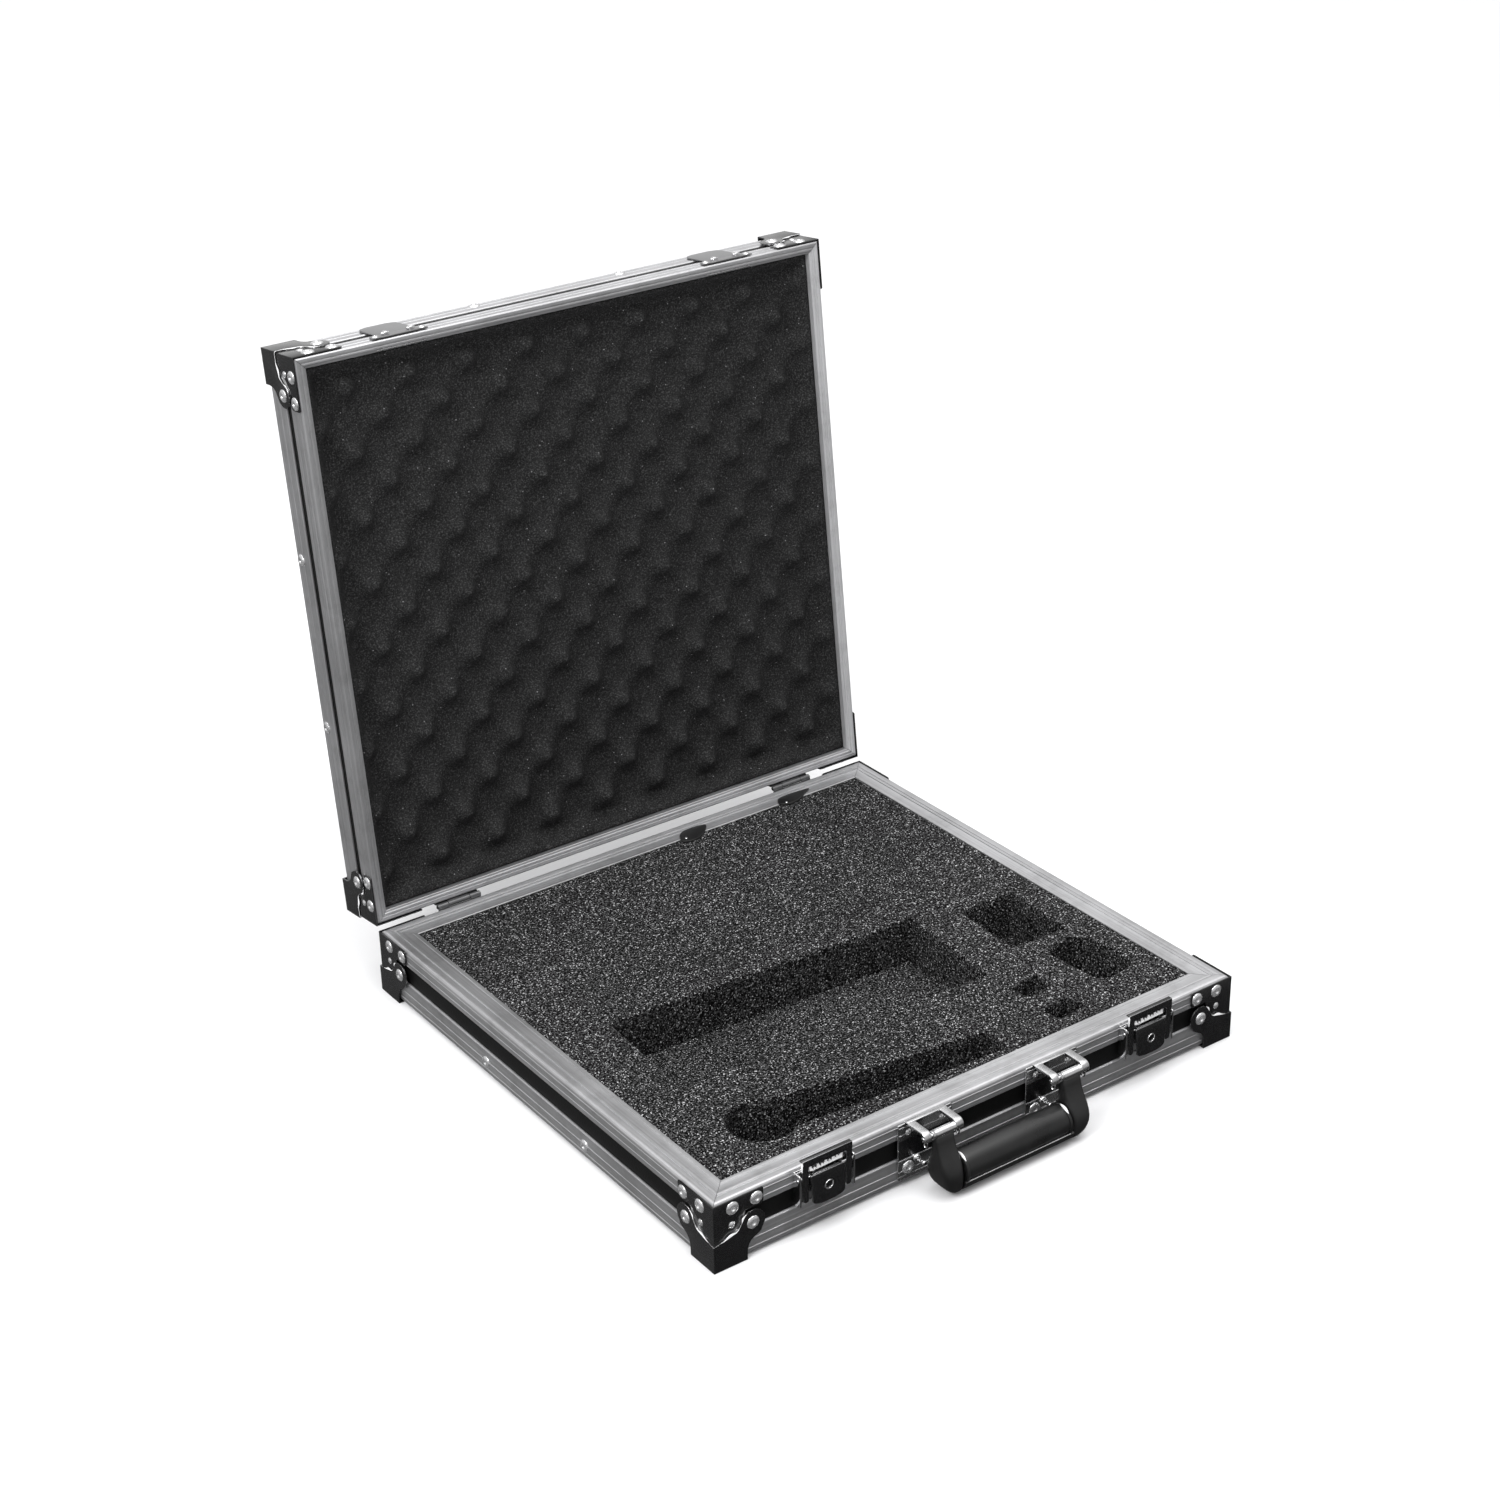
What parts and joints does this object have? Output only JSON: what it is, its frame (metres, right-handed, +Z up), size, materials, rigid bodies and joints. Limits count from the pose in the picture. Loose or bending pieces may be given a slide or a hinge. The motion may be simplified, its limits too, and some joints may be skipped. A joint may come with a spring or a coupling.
{
  "type": "aluminium attache case",
  "caption": "Flat laminated attache case with aluminium edge extrusions, corner caps, draw latches with key locks, a front handle and cut foam.",
  "frame": {"origin": "on the floor under the middle of the base's footprint, where the corner caps stand", "axes": "+Z up, -Y towards the handle and latches, +Y towards the hinges, +X to the right seen from the front"},
  "size_m": [0.4998, 0.614, 0.5293],
  "materials": {
    "extrusion": "satin mill-finish extrusion with lengthwise draw lines",
    "laminate": "thin board faced with black laminate, semi-gloss",
    "corner_plate": "black-plated pressed steel with bright edges",
    "latch_plate_black": "dark mirror plating, bright on the edges",
    "chrome": "bright nickel-chrome plating",
    "hinge_steel": "grey zinc-plated steel",
    "foam": "charcoal open-cell foam with a light fleck",
    "egg_foam": "charcoal convoluted foam",
    "moulded": "black moulded handle, satin"
  },
  "bodies": {
    "base": {"base_bottom_panel": "laminate", "base_wall_frame": "laminate", "base_lip_front": "extrusion", "base_lip_back": "extrusion", "base_lip_left": "extrusion", "base_lip_right": "extrusion", "base_edge_front": "extrusion", "base_edge_back": "extrusion", "base_edge_left": "extrusion", "base_edge_right": "extrusion", "base_corner_front_left": "corner_plate", "base_corner_front_right": "corner_plate", "base_corner_back_left": "corner_plate", "base_corner_back_right": "corner_plate", "base_brace_front_left": "corner_plate", "base_brace_front_right": "corner_plate", "base_brace_back_left": "corner_plate", "base_brace_back_right": "corner_plate", "base_foam": "foam", "base_foam_pad": "foam", "hinge_base_leaf_left": "hinge_steel", "hinge_base_leaf_right": "hinge_steel", "hinge_pin_left": "hinge_steel", "hinge_pin_right": "hinge_steel", "latch_plate_left": "chrome", "latch_plate_right": "chrome", "handle_bracket_left": "chrome", "handle_bracket_right": "chrome"},
    "lid": {"lid_top_panel": "laminate", "lid_wall_frame": "laminate", "lid_lip_front": "extrusion", "lid_lip_back": "extrusion", "lid_lip_left": "extrusion", "lid_lip_right": "extrusion", "lid_edge_front": "extrusion", "lid_edge_back": "extrusion", "lid_edge_left": "extrusion", "lid_edge_right": "extrusion", "lid_corner_front_left": "corner_plate", "lid_corner_front_right": "corner_plate", "lid_corner_back_left": "corner_plate", "lid_corner_back_right": "corner_plate", "lid_brace_front_left": "corner_plate", "lid_brace_front_right": "corner_plate", "lid_brace_back_left": "corner_plate", "lid_brace_back_right": "corner_plate", "lid_foam": "egg_foam", "lid_catch_left": "chrome", "lid_catch_right": "chrome", "hinge_lid_leaf_left": "hinge_steel", "hinge_lid_leaf_right": "hinge_steel"},
    "handle": {"handle_leg_left": "moulded", "handle_leg_right": "moulded", "handle_grip": "moulded"},
    "lever_left": {"latch_lever_left": "latch_plate_black"},
    "claw_left": {"latch_claw_left": "latch_plate_black"},
    "lock_left": {"latch_lock_left": "chrome"},
    "lever_right": {"latch_lever_right": "latch_plate_black"},
    "claw_right": {"latch_claw_right": "latch_plate_black"},
    "lock_right": {"latch_lock_right": "chrome"}
  },
  "joints": [
    {"name": "lid_hinge", "type": "hinge", "parent": "base", "child": "lid", "pos_m": [0, 0.2377, 0.056], "axis": [1, 0, 0], "range_deg": [0, 96.3]},
    {"name": "handle_swing", "type": "hinge", "parent": "base", "child": "handle", "pos_m": [0, -0.256, 0.0514], "axis": [-1, 0, 0], "range_deg": [0, 170]},
    {"name": "lever_left_swing", "type": "hinge", "parent": "base", "child": "lever_left", "pos_m": [-0.154, -0.2405, 0.0495], "axis": [-1, 0, 0], "range_deg": [0, 110]},
    {"name": "claw_left_swing", "type": "hinge", "parent": "lever_left", "child": "claw_left", "pos_m": [-0.154, -0.2406, 0.0435], "axis": [-1, 0, 0], "range_deg": [-110, 0]},
    {"name": "lock_left_turn", "type": "hinge", "parent": "lever_left", "child": "lock_left", "pos_m": [-0.154, -0.2436, 0.04], "axis": [0, -1, 0], "range_deg": [0, 90]},
    {"name": "lever_right_swing", "type": "hinge", "parent": "base", "child": "lever_right", "pos_m": [0.154, -0.2405, 0.0495], "axis": [-1, 0, 0], "range_deg": [0, 110]},
    {"name": "claw_right_swing", "type": "hinge", "parent": "lever_right", "child": "claw_right", "pos_m": [0.154, -0.2406, 0.0435], "axis": [-1, 0, 0], "range_deg": [-110, 0]},
    {"name": "lock_right_turn", "type": "hinge", "parent": "lever_right", "child": "lock_right", "pos_m": [0.154, -0.2436, 0.04], "axis": [0, -1, 0], "range_deg": [0, 90]}
  ],
  "couplings": [
    {"joint": "claw_left_swing", "follows": "lever_left_swing", "ratio": -1},
    {"joint": "claw_right_swing", "follows": "lever_right_swing", "ratio": -1}
  ]
}
